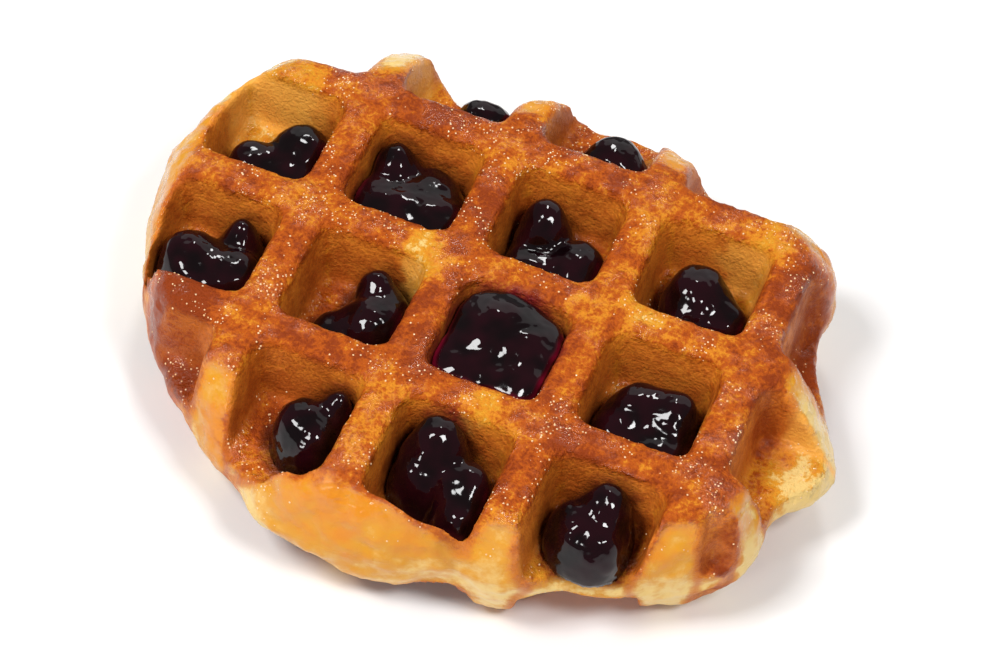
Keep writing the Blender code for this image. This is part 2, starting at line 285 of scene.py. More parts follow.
class Nodes:
    """Adds nodes to a tree and links them, so that a pattern reads as a sum."""

    def __init__(self, tree):
        self.tree = tree

    def add(self, kind, inputs=None, **settings):
        """A node with its settings, and its inputs set by name or number from a value or a socket."""
        node = self.tree.nodes.new(kind)
        for name, value in settings.items():
            setattr(node, name, value)
        for key, value in (inputs or {}).items():
            self.put(node.inputs[key], value)
        return node

    def put(self, socket, value):
        """Set one input from a value or a socket."""
        if isinstance(value, bpy.types.NodeSocket):
            self.tree.links.new(value, socket)
        else:
            socket.default_value = value

    def math(self, operation, *values):
        """One step of arithmetic on one, two or three numbers."""
        node = self.add("ShaderNodeMath", operation=operation)
        for socket, value in zip(node.inputs, values):
            self.put(socket, value)
        return node.outputs[0]

    def plus(self, first, second):
        """The sum of two numbers."""
        return self.math("ADD", first, second)

    def minus(self, first, second):
        """The difference of two numbers."""
        return self.math("SUBTRACT", first, second)

    def times(self, first, second):
        """The product of two numbers."""
        return self.math("MULTIPLY", first, second)

    def vector(self, operation, *values):
        """One step of arithmetic on vectors; a LENGTH is a number, all else a vector."""
        node = self.add("ShaderNodeVectorMath", operation=operation)
        for socket, value in zip(node.inputs, values):
            self.put(socket, value)
        return node.outputs["Value" if operation == "LENGTH" else "Vector"]

    def split(self, vector):
        """A vector's X, Y and Z."""
        return self.add("ShaderNodeSeparateXYZ", {0: vector}).outputs

    def join(self, x, y, z):
        """A vector from X, Y and Z."""
        return self.add("ShaderNodeCombineXYZ", {"X": x, "Y": y, "Z": z}).outputs[0]

    def step(self, value, start, end, to_start=0.0, to_end=1.0):
        """A smooth step from one value to another."""
        return self.add("ShaderNodeMapRange", {
            "Value": value, "From Min": start, "From Max": end, "To Min": to_start, "To Max": to_end},
            interpolation_type="SMOOTHSTEP").outputs["Result"]

    def fade(self, value, start, end):
        """A smooth step from one down to nothing."""
        return self.step(value, start, end, 1.0, 0.0)

    def mix(self, factor, first, second, data_type="RGBA"):
        """A colour between two colours, or a number between two numbers."""
        node = self.add("ShaderNodeMix", {"Factor": factor, "A": first, "B": second}, data_type=data_type)
        return node.outputs["Result"]

    def noise(self, scale, detail=2.0, roughness=0.5, place=None):
        """Noise from 0 to 1 at a scale in waves a metre."""
        node = self.add("ShaderNodeTexNoise", {"Scale": scale, "Detail": detail, "Roughness": roughness})
        if place is not None:
            self.put(node.inputs["Vector"], place)
        return node.outputs[0]

    def swing(self, *pattern):
        """Noise about zero."""
        return self.minus(self.noise(*pattern), 0.5)


def make_tree(name, kind, inputs=(), outputs=()):
    """A node group with named sockets, and its group input and output."""
    tree = bpy.data.node_groups.new(name, kind)
    for label, socket_type, value in inputs:
        socket = tree.interface.new_socket(label, in_out="INPUT", socket_type=socket_type)
        if value is not None:
            socket.default_value = value
    for label, socket_type in outputs:
        tree.interface.new_socket(label, in_out="OUTPUT", socket_type=socket_type)
    return tree, Nodes(tree), tree.nodes.new("NodeGroupInput"), tree.nodes.new("NodeGroupOutput")


def set_input(modifier, label, value):
    """Set a modifier's input by the identifier of its socket."""
    for item in modifier.node_group.interface.items_tree:
        if item.item_type == "SOCKET" and item.in_out == "INPUT" and item.name == label:
            modifier[item.identifier] = value


def attribute(nodes, name):
    """A point attribute read in a geometry tree."""
    return nodes.add("GeometryNodeInputNamedAttribute", {"Name": name}, data_type="FLOAT").outputs[0]


def store(nodes, geometry, name, value):
    """Geometry with a number noted on each of its points."""
    return nodes.add("GeometryNodeStoreNamedAttribute", {
        "Geometry": geometry, "Name": name, "Value": value}, data_type="FLOAT", domain="POINT").outputs[0]


def point_place(nodes):
    """Where a point is, in a geometry tree."""
    return nodes.add("GeometryNodeInputPosition").outputs[0]


def point_normal(nodes):
    """Which way a surface faces at a point, in a geometry tree."""
    return nodes.add("GeometryNodeInputNormal").outputs[0]


def move(nodes, geometry, **how):
    """Geometry with its points at a Position, or moved by an Offset."""
    return nodes.add("GeometryNodeSetPosition", {"Geometry": geometry, **how}).outputs[0]


def push_out(nodes, geometry, distance):
    """Geometry with its points moved a distance the way the surface faces."""
    scaled = nodes.add("ShaderNodeVectorMath", operation="SCALE")
    nodes.put(scaled.inputs[0], point_normal(nodes))
    nodes.put(scaled.inputs["Scale"], distance)
    return move(nodes, geometry, Offset=scaled.outputs[0])


def blur(nodes, value, rounds, weight=1.0, data_type="FLOAT"):
    """A value on the points, averaged with their neighbours' for some rounds."""
    return nodes.add("GeometryNodeBlurAttribute", {
        "Value": value, "Iterations": rounds, "Weight": weight}, data_type=data_type).outputs[0]


def shape_of(nodes, obj):
    """The geometry of another object."""
    return nodes.add("GeometryNodeObjectInfo", {"Object": obj}).outputs["Geometry"]


def distance_to(nodes, obj):
    """Distance from each point to the surface of another object."""
    return nodes.add("GeometryNodeProximity", {"Geometry": shape_of(nodes, obj)},
                     target_element="FACES").outputs["Distance"]


def realize(nodes, geometry):
    """Instances turned into a plain mesh."""
    return nodes.add("GeometryNodeRealizeInstances", {"Geometry": geometry}).outputs[0]


def shade_smooth(nodes, geometry):
    """Geometry with smooth shading."""
    return nodes.add("GeometryNodeSetShadeSmooth", {"Geometry": geometry, "Shade Smooth": True}).outputs[0]


def dress(nodes, geometry, material):
    """Geometry with a material."""
    return nodes.add("GeometryNodeSetMaterial", {"Geometry": geometry, "Material": material}).outputs[0]


def add_tree(obj, name, tree, **values):
    """Put a tree on an object, with its inputs."""
    modifier = obj.modifiers.new(name, "NODES")
    modifier.node_group = tree
    for label, value in values.items():
        set_input(modifier, label.replace("_", " "), value)
    return modifier


def link(obj):
    """Put an object into the scene."""
    bpy.context.scene.collection.objects.link(obj)
    return obj


def apply_modifiers(obj):
    """Turn an object's modifiers into a plain mesh."""
    graph = bpy.context.evaluated_depsgraph_get()
    mesh = bpy.data.meshes.new_from_object(obj.evaluated_get(graph))
    obj.modifiers.clear()
    old = obj.data
    obj.data = mesh
    bpy.data.meshes.remove(old)
    return obj


def ring_object(name, rings):
    """A closed solid from rings of points in the part's frame, lowest first."""
    solid = bmesh.new()
    layers = [[solid.verts.new(point) for point in ring] for ring in rings]
    count = len(layers[0])
    for lower, upper in zip(layers, layers[1:]):
        for i in range(count):
            j = (i + 1) % count
            solid.faces.new((lower[i], lower[j], upper[j], upper[i]))
    solid.faces.new(list(reversed(layers[0])))
    solid.faces.new(layers[-1])
    mesh = bpy.data.meshes.new(name)
    solid.to_mesh(mesh)
    solid.free()
    return link(bpy.data.objects.new(name, mesh))


def superellipse_radius(angle, half, squareness):
    """Distance from the centre of a rounded rectangle to its edge."""
    along = (abs(math.cos(angle)) / half[0]) ** squareness
    across = (abs(math.sin(angle)) / half[1]) ** squareness
    return (along + across) ** (-1 / squareness)


def dough_field(x, y):
    """Smooth union of the core and its lobes: above zero inside the dough."""
    u = abs(x - CORE_CENTRE[0]) / CORE_HALF[0]
    v = abs(y - CORE_CENTRE[1]) / CORE_HALF[1]
    core = 1 - (u ** CORE_SQUARENESS + v ** CORE_SQUARENESS) ** (1 / CORE_SQUARENESS)
    depths = [core * min(CORE_HALF)]
    for lobe_x, lobe_y, radius in LOBES:
        depths.append(radius - math.hypot(x - lobe_x, y - lobe_y))
    return LOBE_BLEND * np.logaddexp.reduce(np.array(depths) / LOBE_BLEND)


def halve(inside, between):
    """Narrow down where a test stops holding, between two distances."""
    inner, outer = between
    while outer - inner > HALVING_STOP:
        middle = (inner + outer) / 2
        if inside(middle):
            inner = middle
        else:
            outer = middle
    return inner, outer


def outline_radius(angle):
    """Distance from the plateau's centre to the dough's edge."""
    def inside(reach):
        x = PLATEAU_CENTRE[0] + reach * math.cos(angle)
        y = PLATEAU_CENTRE[1] + reach * math.sin(angle)
        return dough_field(x, y) > 0

    inner, outer = halve(inside, DOUGH_EDGE_BETWEEN)
    return (inner + outer) / 2


def sag(angle):
    """Drop of the dough's shoulder and extra width of its edge in one direction."""
    drop, width = 0.0, 0.0
    for direction, spread, most_drop, most_width in SAGS:
        turn = (math.degrees(angle) - direction + 180) % 360 - 180
        share = math.exp(-(turn / spread) ** 2)
        drop += most_drop * share
        width += most_width * share
    return drop, width


def plateau_radius(angle, edge):
    """Distance to the plateau's edge, which stays inside the dough's edge."""
    square = superellipse_radius(angle, PLATEAU_HALF, PLATEAU_SQUARENESS)
    limit = edge - LEAST_EDGE - sag(angle)[1]
    return -EDGE_BLEND * np.logaddexp(-square / EDGE_BLEND, -limit / EDGE_BLEND)


def metres(lengths):
    """Lengths in millimetres, in metres."""
    return tuple(MM * length for length in lengths)


def to_part(x, y, z):
    """A place in millimetres from the middle pocket, in the part's frame."""
    return Vector((MM * (x + MIDDLE_POCKET[0]), MM * (y + MIDDLE_POCKET[1]), MM * z))


def unpressed_dough():
    """The dough before the iron marks it: a plateau above and below, and an edge that bulges."""
    angles = [2 * math.pi * i / OUTLINE_STEPS for i in range(OUTLINE_STEPS)]
    edges = [outline_radius(angle) for angle in angles]
    flats = [plateau_radius(angle, edge) for angle, edge in zip(angles, edges)]
    rings = []
    for step in range(EDGE_RINGS + 1):
        tilt = math.pi * (step / EDGE_RINGS - 0.5)
        ring = []
        for angle, edge, flat in zip(angles, edges, flats):
            if tilt < 0:
                radius = flat - UNDER_INSET + (edge - flat + UNDER_INSET) * math.cos(tilt)
                z = EQUATOR * (1 - abs(math.sin(tilt)) ** UNDER_POWER)
            else:
                radius = flat + (edge - flat) * math.cos(tilt)
                z = EQUATOR + (HEIGHT - EQUATOR) * math.sin(tilt) ** (1 + sag(angle)[0])
            x = PLATEAU_CENTRE[0] + radius * math.cos(angle)
            y = PLATEAU_CENTRE[1] + radius * math.sin(angle)
            ring.append(to_part(x, y, z))
        rings.append(ring)
    return ring_object("waffle_dough", rings)


def iron_block_tree():
    """One block of the iron, standing on its tip: a tapered square with a flared foot and a rounded tip."""
    tree, nodes, given, result = make_tree(
        "iron_block",
        "GeometryNodeTree",
        (("Depth", "NodeSocketFloat", 0.0125), ("Half Width", "NodeSocketFloat", 0.009),
         ("Draft", "NodeSocketFloat", 0.1), ("Rim Round", "NodeSocketFloat", 0.0009),
         ("Floor Round", "NodeSocketFloat", 0.0016), ("Foot", "NodeSocketFloat", 0.004)),
        (("Geometry", "NodeSocketGeometry"),),
    )
    given = given.outputs
    cube = nodes.add("GeometryNodeMeshCube", {
        "Size": (2.0, 2.0, 1.0), "Vertices X": 9, "Vertices Y": 9, "Vertices Z": 25})
    x, y, z = nodes.split(point_place(nodes))
    down = nodes.plus(z, 0.5)
    span = nodes.plus(given["Depth"], given["Foot"])
    depth = nodes.minus(given["Depth"], nodes.times(down, span))
    above = nodes.times(depth, -1.0)
    rise = nodes.math("MINIMUM", nodes.math("DIVIDE", above, given["Rim Round"]), MOST_FLARE)
    flare = nodes.times(given["Rim Round"], nodes.math("EXPONENT", rise))
    tip_starts = nodes.minus(given["Depth"], given["Floor Round"])
    into_tip = nodes.math("DIVIDE", nodes.minus(depth, tip_starts), given["Floor Round"])
    into_tip = nodes.math("MAXIMUM", nodes.math("MINIMUM", into_tip, 1.0), 0.0)
    arc = nodes.math("SQRT", nodes.minus(1.0, nodes.times(into_tip, into_tip)))
    tip = nodes.times(given["Floor Round"], nodes.minus(1.0, arc))
    taper = nodes.times(nodes.math("MAXIMUM", depth, 0.0), given["Draft"])
    half = nodes.minus(nodes.plus(given["Half Width"], flare), nodes.plus(taper, tip))
    across_x = nodes.math("ABSOLUTE", x)
    across_y = nodes.math("ABSOLUTE", y)
    # The two small numbers keep the block's middle from dividing nothing by nothing
    square = nodes.math("MAXIMUM", nodes.math("MAXIMUM", across_x, across_y), 1e-4)
    power_x = nodes.math("POWER", across_x, BLOCK_SQUARENESS)
    power_y = nodes.plus(nodes.math("POWER", across_y, BLOCK_SQUARENESS), 1e-12)
    rounded = nodes.math("POWER", nodes.plus(power_x, power_y), 1.0 / BLOCK_SQUARENESS)
    scale = nodes.times(half, nodes.math("DIVIDE", square, rounded))
    target = nodes.join(nodes.times(x, scale), nodes.times(y, scale), above)
    nodes.put(result.inputs["Geometry"], move(nodes, cube.outputs["Mesh"], Position=target))
    return tree


def press_tree(block):
    """Press the iron's blocks into both faces of the dough."""
    tree, nodes, given, result = make_tree(
        "press_in_iron",
        "GeometryNodeTree",
        (("Geometry", "NodeSocketGeometry", None), ("Pitch", "NodeSocketFloat", 0.024),
         ("Ridge Width", "NodeSocketFloat", 0.006), ("Cells Across", "NodeSocketInt", 5),
         ("Top Depth", "NodeSocketFloat", 0.0125), ("Bottom Depth", "NodeSocketFloat", 0.0105),
         ("Height", "NodeSocketFloat", 0.028), ("Draft", "NodeSocketFloat", 0.1),
         ("Rim Round", "NodeSocketFloat", 0.0009), ("Floor Round", "NodeSocketFloat", 0.0016),
         ("Middle X", "NodeSocketFloat", 0.0), ("Middle Y", "NodeSocketFloat", 0.0)),
        (("Geometry", "NodeSocketGeometry"),),
    )
    given = given.outputs
    cells = given["Cells Across"]
    width = nodes.times(given["Pitch"], nodes.minus(cells, 1.0))
    grid = nodes.add("GeometryNodeMeshGrid", {
        "Size X": width, "Size Y": width, "Vertices X": cells, "Vertices Y": cells})
    half = nodes.times(nodes.minus(given["Pitch"], given["Ridge Width"]), 0.5)
    pressed = given["Geometry"]
    for side, level, turn in (("Top", given["Height"], 0.0), ("Bottom", 0.0, math.pi)):
        shape = nodes.add("GeometryNodeGroup", node_tree=block)
        for label in ("Draft", "Rim Round", "Floor Round"):
            nodes.put(shape.inputs[label], given[label])
        nodes.put(shape.inputs["Depth"], given[f"{side} Depth"])
        nodes.put(shape.inputs["Half Width"], half)
        place = nodes.join(given["Middle X"], given["Middle Y"], level)
        centres = nodes.add("GeometryNodeTransform", {
            "Geometry": grid.outputs["Mesh"], "Translation": place})
        blocks = nodes.add("GeometryNodeInstanceOnPoints", {
            "Points": centres.outputs[0], "Instance": shape.outputs[0], "Rotation": (turn, 0.0, 0.0)})
        cut = nodes.add("GeometryNodeMeshBoolean", operation="DIFFERENCE", solver="MANIFOLD")
        nodes.put(cut.inputs["Mesh 1"], pressed)
        nodes.put(cut.inputs["Mesh 2"], realize(nodes, blocks.outputs[0]))
        pressed = cut.outputs["Mesh"]
    nodes.put(result.inputs["Geometry"], pressed)
    return tree


def iron_marks(nodes, given, place):
    """Depth below the nearer face, a mask along the pockets' walls, and one of all that the iron marked."""
    xyz = nodes.split(place)
    half_pitch = nodes.times(given["Pitch"], 0.5)
    minus_half = nodes.times(given["Pitch"], -0.5)
    across = []
    for axis in ("X", "Y"):
        from_middle = nodes.minus(xyz[axis], given[f"Middle {axis}"])
        across.append(nodes.math("ABSOLUTE", nodes.math("WRAP", from_middle, half_pitch, minus_half)))
    off_centre = nodes.math("MAXIMUM", *across)
    on_top = nodes.math("GREATER_THAN", xyz["Z"], given["Equator"])
    below = nodes.minus(1.0, on_top)
    from_top = nodes.minus(given["Height"], xyz["Z"])
    depth = nodes.plus(nodes.times(on_top, from_top), nodes.times(below, xyz["Z"]))
    floor = nodes.plus(nodes.times(on_top, given["Top Depth"]), nodes.times(below, given["Bottom Depth"]))
    wall = nodes.minus(given["Half Width"], nodes.times(depth, given["Draft"]))
    by_wall = nodes.fade(nodes.math("ABSOLUTE", nodes.minus(off_centre, wall)), *metres(NEAR_IRON))
    by_floor = nodes.fade(nodes.math("ABSOLUTE", nodes.minus(depth, floor)), *metres(NEAR_IRON))
    by_face = nodes.fade(depth, *metres(BELOW_FACE))
    not_under = nodes.fade(depth, *(nodes.plus(floor, slack) for slack in metres(BELOW_FLOOR)))
    in_pocket = nodes.math("LESS_THAN", off_centre, nodes.plus(wall, BEYOND_WALL * MM))
    face_or_wall = nodes.math("MAXIMUM", by_face, nodes.times(by_wall, not_under))
    marked = nodes.math("MAXIMUM", face_or_wall, nodes.times(by_floor, in_pocket))
    return depth, by_wall, marked


def wetness(nodes, patches, marks):
    """Where a wet film lies: in patches, and mostly on crust that faces up."""
    dry_line = nodes.plus(0.34, nodes.times(marks, 0.14))
    wet = nodes.step(patches, dry_line, nodes.plus(dry_line, 0.12))
    facing_up = nodes.split(point_normal(nodes))["Z"]
    return nodes.times(wet, nodes.step(facing_up, 0.0, 0.6, 0.2, 1.0))


def browned_spots(nodes, patches, place):
    """How much more or less than the rest the crust browned, in round spots with ragged edges."""
    wander = nodes.times(nodes.minus(patches, 0.5), SPOT_WANDER)
    browned = 0.0
    for x, y, radius, amount in BROWNED:
        away = nodes.vector("SUBTRACT", place, to_part(x, y, 0.0))
        reach = nodes.vector("LENGTH", nodes.vector("MULTIPLY", away, (1.0, 1.0, 0.0)))
        share = nodes.step(nodes.plus(reach, wander), SPOT_HEART * radius * MM, radius * MM, amount, 0.0)
        browned = nodes.plus(browned, share)
    return browned


def crust_relief(nodes, given, free):
    """How far the crust stands out: puffs where it is free, roughness where it is pressed."""
    broad = nodes.swing(*BROAD_PUFFS)
    small = nodes.swing(*SMALL_PUFFS)
    tiny = nodes.swing(*TINY_BUMPS)
    puffs = nodes.plus(nodes.times(broad, 3.0), nodes.times(small, 0.5))
    bumps = nodes.plus(nodes.times(small, 2.6), nodes.times(tiny, 1.6))
    puff = nodes.times(nodes.times(free, given["Puff"]), puffs)
    rough = nodes.times(given["Roughening"], bumps)
    rough = nodes.times(rough, nodes.minus(1.0, nodes.times(attribute(nodes, "wall"), 0.85)))
    rough = nodes.times(rough, nodes.plus(0.3, nodes.times(attribute(nodes, "near_pressed"), 0.7)))
    return nodes.plus(puff, rough)


def crust_tree():
    """Round and roughen the pressed dough, and note on it what the material has to know."""
    tree, nodes, given, result = make_tree(
        "crust",
        "GeometryNodeTree",
        (("Geometry", "NodeSocketGeometry", None), ("Jam", "NodeSocketObject", None),
         ("Material", "NodeSocketMaterial", None), ("Pitch", "NodeSocketFloat", 0.024),
         ("Half Width", "NodeSocketFloat", 0.009), ("Draft", "NodeSocketFloat", 0.1),
         ("Top Depth", "NodeSocketFloat", 0.0125), ("Bottom Depth", "NodeSocketFloat", 0.0105),
         ("Height", "NodeSocketFloat", 0.028), ("Equator", "NodeSocketFloat", 0.013),
         ("Middle X", "NodeSocketFloat", 0.0), ("Middle Y", "NodeSocketFloat", 0.0),
         ("Puff", "NodeSocketFloat", 0.0008), ("Roughening", "NodeSocketFloat", 0.0003),
         ("Low Corner", "NodeSocketVector", None), ("High Corner", "NodeSocketVector", None)),
        (("Geometry", "NodeSocketGeometry"),),
    )
    given = given.outputs
    place = point_place(nodes)
    depth, by_wall, marked = iron_marks(nodes, given, place)
    marks = blur(nodes, marked, CLOSE_BLUR)
    patches = nodes.noise(*PATCHES)
    mottle = nodes.mix(0.5, nodes.noise(*CLOUDS), nodes.noise(*FLECKS), "FLOAT")
    notes = {
        "pressed": marks,
        "near_pressed": blur(nodes, marked, WIDE_BLUR),
        "depth": depth,
        "mottle": nodes.step(mottle, 0.36, 0.64),
        "wet": wetness(nodes, patches, marks),
        "browned": browned_spots(nodes, patches, place),
        "wall": nodes.times(by_wall, nodes.step(depth, *metres(WALL_STARTS))),
    }
    geometry = given["Geometry"]
    for label, value in notes.items():
        geometry = store(nodes, geometry, label, value)
    free = nodes.minus(1.0, attribute(nodes, "pressed"))
    weight = nodes.plus(nodes.times(free, 0.92), 0.02)
    rounded = blur(nodes, place, ROUNDING, weight, "FLOAT_VECTOR")
    softened = move(nodes, geometry, Position=rounded)
    roughened = push_out(nodes, softened, crust_relief(nodes, given, free))
    not_lower = nodes.vector("MAXIMUM", place, given["Low Corner"])
    boxed = move(nodes, roughened, Position=nodes.vector("MINIMUM", not_lower, given["High Corner"]))
    # Nearness to jam: where jam ran into the dough, and where painted contact shade goes
    stain = nodes.fade(distance_to(nodes, given["Jam"]), *metres(STAIN_REACH))
    whole = realize(nodes, store(nodes, boxed, "stain", stain))
    nodes.put(result.inputs["Geometry"], dress(nodes, whole, given["Material"]))
    return tree


def jam_tree():
    """Ripple a dollop's surface, and note where it is only a thin film on the dough."""
    tree, nodes, given, result = make_tree(
        "jam_surface",
        "GeometryNodeTree",
        (("Geometry", "NodeSocketGeometry", None), ("Dough", "NodeSocketObject", None),
         ("Material", "NodeSocketMaterial", None), ("Ripple", "NodeSocketFloat", 0.0005),
         ("Ripple Scale", "NodeSocketFloat", 260.0), ("Film", "NodeSocketFloat", 0.0013)),
        (("Geometry", "NodeSocketGeometry"),),
    )
    given = given.outputs
    wave = nodes.swing(given["Ripple Scale"], 2.0, 0.45)
    fine = nodes.swing(nodes.times(given["Ripple Scale"], 3.0), 1.0)
    ripples = nodes.plus(nodes.times(wave, 2.0), nodes.times(fine, 0.35))
    moved = push_out(nodes, given["Geometry"], nodes.times(given["Ripple"], ripples))
    thin = nodes.fade(distance_to(nodes, given["Dough"]), 0.0, given["Film"])
    whole = realize(nodes, shade_smooth(nodes, store(nodes, moved, "thin", thin)))
    nodes.put(result.inputs["Geometry"], dress(nodes, whole, given["Material"]))
    return tree


def bead_tree():
    """Scatter beads of melted sugar over the upper side of the crust."""
    tree, nodes, given, result = make_tree(
        "sugar_beads",
        "GeometryNodeTree",
        (("Geometry", "NodeSocketGeometry", None), ("Dough", "NodeSocketObject", None),
         ("Material", "NodeSocketMaterial", None), ("Density", "NodeSocketFloat", 200000.0),
         ("Least Radius", "NodeSocketFloat", 0.0001), ("Greatest Radius", "NodeSocketFloat", 0.0003),
         ("Seed", "NodeSocketInt", 7), ("Highest", "NodeSocketFloat", 0.028)),
        (("Geometry", "NodeSocketGeometry"),),
    )
    given = given.outputs
    up = nodes.split(point_normal(nodes))["Z"]
    patches = nodes.step(nodes.noise(170.0, 3.0), 0.46, 0.68)
    dry = nodes.minus(1.0, attribute(nodes, "stain"))
    share = nodes.times(nodes.times(nodes.step(up, 0.15, 0.6), patches), dry)
    points = nodes.add("GeometryNodeDistributePointsOnFaces", {
        "Mesh": shape_of(nodes, given["Dough"]), "Density": nodes.times(given["Density"], share),
        "Seed": given["Seed"]}).outputs
    bead = nodes.add("GeometryNodeMeshIcoSphere", {"Radius": 1.0, "Subdivisions": 1}).outputs["Mesh"]
    size = nodes.add("FunctionNodeRandomValue", {
        2: given["Least Radius"], 3: given["Greatest Radius"], "Seed": given["Seed"]},
        data_type="FLOAT").outputs[1]
    beads = nodes.add("GeometryNodeInstanceOnPoints", {
        "Points": points["Points"], "Instance": bead, "Rotation": points["Rotation"],
        "Scale": nodes.join(size, size, nodes.times(size, BEAD_FLATNESS))}).outputs[0]
    x, y, z = nodes.split(point_place(nodes))
    level = nodes.join(x, y, nodes.math("MINIMUM", z, given["Highest"]))
    held = move(nodes, realize(nodes, beads), Position=level)
    nodes.put(result.inputs["Geometry"], dress(nodes, shade_smooth(nodes, held), given["Material"]))
    return tree


def press_dough():
    """The dough with the iron's squares pressed into it, on an even mesh."""
    dough = unpressed_dough()
    add_tree(
        dough, "press", press_tree(iron_block_tree()), Pitch=PITCH * MM, Ridge_Width=RIDGE_WIDTH * MM,
        Cells_Across=CELLS_ACROSS, Top_Depth=TOP_DEPTH * MM, Bottom_Depth=BOTTOM_DEPTH * MM,
        Height=HEIGHT * MM, Draft=math.tan(WALL_DRAFT), Rim_Round=RIM_ROUND * MM,
        Floor_Round=FLOOR_ROUND * MM, Middle_X=MIDDLE_POCKET[0] * MM, Middle_Y=MIDDLE_POCKET[1] * MM)
    remesh = dough.modifiers.new("even_mesh", "REMESH")
    remesh.mode = "VOXEL"
    remesh.voxel_size = VOXEL * MM
    remesh.use_smooth_shade = True
    return apply_modifiers(dough)


def bake_crust(dough, dollops, material):
    """Give the pressed dough its crust, dark around the jam that lies on it: partly jam that ran in, partly
    painted contact shade.
    """
    low, high = CAD_BOX
    dough.data.materials.clear()
    add_tree(
        dough, "crust", crust_tree(), Jam=dollops, Material=material, Pitch=PITCH * MM,
        Half_Width=(PITCH - RIDGE_WIDTH) / 2 * MM, Draft=math.tan(WALL_DRAFT), Top_Depth=TOP_DEPTH * MM,
        Bottom_Depth=BOTTOM_DEPTH * MM, Height=HEIGHT * MM, Equator=EQUATOR * MM, Puff=PUFF * MM,
        Roughening=ROUGHENING * MM, Middle_X=MIDDLE_POCKET[0] * MM, Middle_Y=MIDDLE_POCKET[1] * MM,
        Low_Corner=tuple(low), High_Corner=tuple(high))
    return apply_modifiers(dough)


def jam_heart(lumps):
    """The middle of a dollop, that its outline is drawn around."""
    weights = [radius ** 2 for _, _, radius, _ in lumps]
    x = sum(weight * lump[0] for weight, lump in zip(weights, lumps)) / sum(weights)
    y = sum(weight * lump[1] for weight, lump in zip(weights, lumps)) / sum(weights)
    return x, y


def jam_field(lumps, x, y):
    """Smooth union of a dollop's lumps: above zero inside it."""
    depths = [radius - math.hypot(x - lump_x, y - lump_y) for lump_x, lump_y, radius, _ in lumps]
    return JAM_BLEND * np.logaddexp.reduce(np.array(depths) / JAM_BLEND)


def jam_reach(lumps, heart, angle):
    """Distance from a dollop's heart to its edge."""
    def inside(reach):
        x = heart[0] + reach * math.cos(angle)
        y = heart[1] + reach * math.sin(angle)
        return jam_field(lumps, x, y) > 0

    return halve(inside, JAM_EDGE_BETWEEN)[0]


def jam_height(lumps, x, y):
    """Height above the pocket floor: domes that meet in soft creases and round off at the edge."""
    domes = []
    for lump_x, lump_y, radius, top in lumps:
        share = min(math.hypot(x - lump_x, y - lump_y) / (radius * LUMP_SPREAD), 1.0)
        domes.append(top * math.sqrt(1 - share ** 2))
    inside = min(max(jam_field(lumps, x, y), 0.0) / JAM_EDGE, 1.0)
    dome = LUMP_BLEND * np.logaddexp.reduce(np.array(domes) / LUMP_BLEND)
    return dome * math.sqrt(1 - (1 - inside) ** 2)


def hold_inside(x, y, limit):
    """Keep a place just inside a rounded square pocket, without a crease."""
    reach = math.hypot(x, y)
    edge = superellipse_radius(math.atan2(y, x), (limit, limit), JAM_SQUARENESS)
    share = 1 / (1 + (reach / edge) ** JAM_FIT_POWER) ** (1 / JAM_FIT_POWER)
    return x * share, y * share


def jam_lap(height):
    """How far a dollop that stands over the ridges laps over them."""
    rise = min(max((height - TOP_DEPTH + LAP_STARTS_BELOW) / LAP_RISE, 0.0), 1.0)
    return JAM_LAP * rise * rise * (3 - 2 * rise)


def jam_rings(cell, lumps):
    """A dollop's rings, from its foot on the pocket floor to its top."""
    centre = ((cell[0] - MIDDLE_CELL[0]) * PITCH, (MIDDLE_CELL[1] - cell[1]) * PITCH)
    floor = HEIGHT - TOP_DEPTH - JAM_SINK
    heart = jam_heart(lumps)
    angles = [2 * math.pi * i / JAM_STEPS for i in range(JAM_STEPS)]
    reaches = [jam_reach(lumps, heart, angle) for angle in angles]
    rings = []
    for step in range(JAM_RINGS):
        share = 1 - (step / JAM_RINGS) ** JAM_RING_POWER
        ring = []
        for angle, reach in zip(angles, reaches):
            x = heart[0] + share * reach * math.cos(angle)
            y = heart[1] + share * reach * math.sin(angle)
            height = jam_height(lumps, x, y)
            limit = (PITCH - RIDGE_WIDTH) / 2 - max(TOP_DEPTH - height, 0.0) * math.tan(WALL_DRAFT)
            x, y = hold_inside(x, y, limit + JAM_SINK + jam_lap(height))
            ring.append(to_part(centre[0] + x, centre[1] + y, floor + JAM_SINK + height))
        rings.append(ring)
    return rings


def aimed(place, target, roll=0.0):
    """The matrix of something that stands at a place and looks at a target."""
    place = Vector(place)
    look = (Vector(target) - place).to_track_quat("-Z", "Y").to_matrix().to_4x4()
    return Matrix.Translation(place) @ look @ Matrix.Rotation(roll, 4, "Z")


def place_camera():
    """The photograph's camera: a long lens that looks down over the front edge, leaning a little."""
    camera = bpy.data.cameras.new("camera")
    camera.lens = LENS_MM
    camera.sensor_width = SENSOR_MM
    camera.clip_start = 0.01
    obj = link(bpy.data.objects.new("camera", camera))
    obj.matrix_world = aimed(CAMERA_PLACE, CAMERA_TARGET, CAMERA_ROLL)
    bpy.context.scene.camera = obj


def add_light(name, place, target, sides, power):
    """A soft rectangular light aimed at a point."""
    light = bpy.data.lights.new(name, "AREA")
    light.shape = "RECTANGLE"
    light.size, light.size_y = sides
    light.energy = power
    obj = link(bpy.data.objects.new(name, light))
    obj.matrix_world = aimed(place, target)


def light_studio():
    """Plain soft light: soft boxes above, in front and behind, a wide dim screen and a pale room."""
    for light in LIGHTS:
        add_light(*light)
    world = bpy.data.worlds.new("room")
    world.use_nodes = True
    background = world.node_tree.nodes["Background"].inputs
    background["Color"].default_value = (1.0, 1.0, 1.0, 1.0)
    background["Strength"].default_value = ROOM_STRENGTH
    bpy.context.scene.world = world
    bpy.context.scene.view_settings.view_transform = "Standard"


